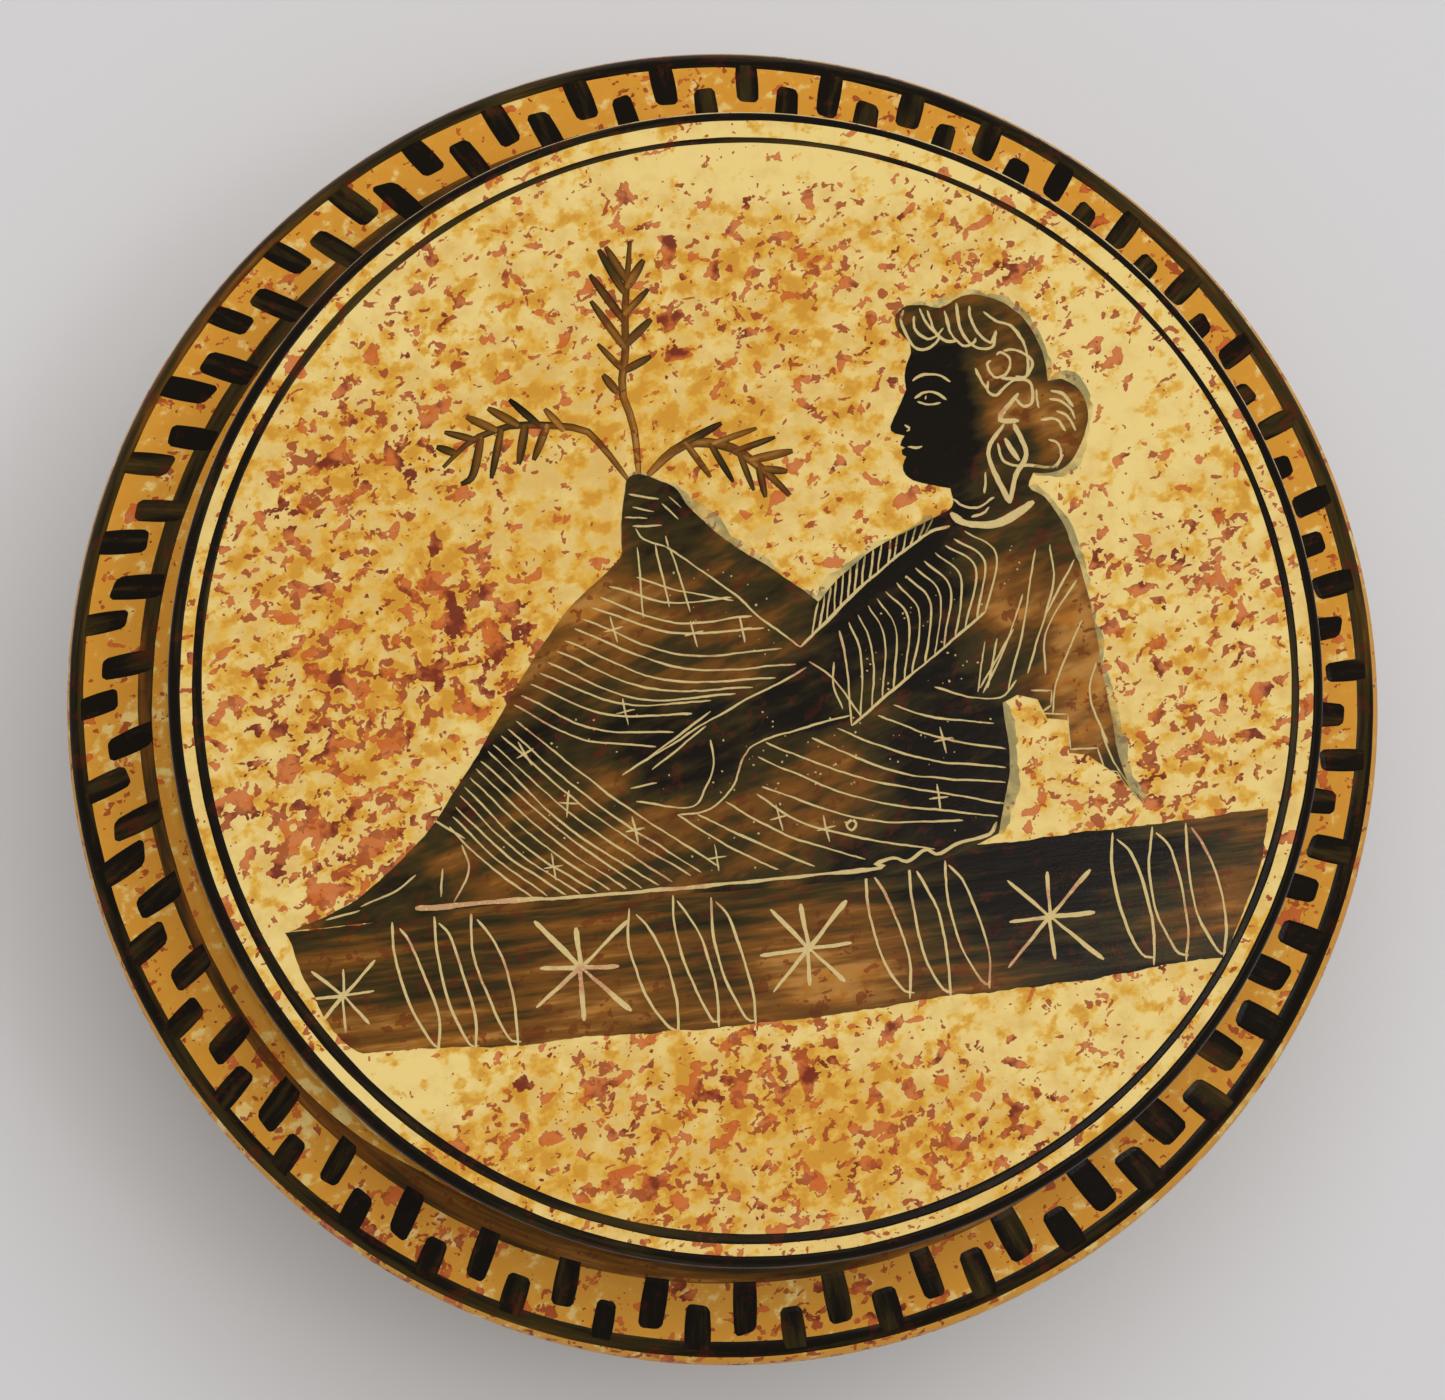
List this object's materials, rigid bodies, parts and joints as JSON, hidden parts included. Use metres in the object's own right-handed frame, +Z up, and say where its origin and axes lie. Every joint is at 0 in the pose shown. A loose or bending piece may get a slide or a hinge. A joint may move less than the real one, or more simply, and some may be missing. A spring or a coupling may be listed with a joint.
{
  "type": "pyxis",
  "caption": "Round pottery box with a flat-topped lid whose broad brim rests on the rim; the lid lifts off and the box stands on a turned ring foot.",
  "frame": {"origin": "centre of the foot's resting plane", "axes": "+Z up along the axis the box was turned on; +Y towards the top of the picture on the lid"},
  "size_m": [0.14, 0.14, 0.0901],
  "materials": {
    "box_slip": "mottled slip over red clay, satin",
    "lid_slip": "mottled cream slip with dark painted bands, satin"
  },
  "bodies": {
    "box": {"box": "box_slip"},
    "lid": {"lid": "lid_slip"}
  },
  "joints": [
    {"name": "lid_lift", "type": "slide", "parent": "box", "child": "lid", "axis": [0, 0, 1], "range_m": [0, 0.06]}
  ]
}
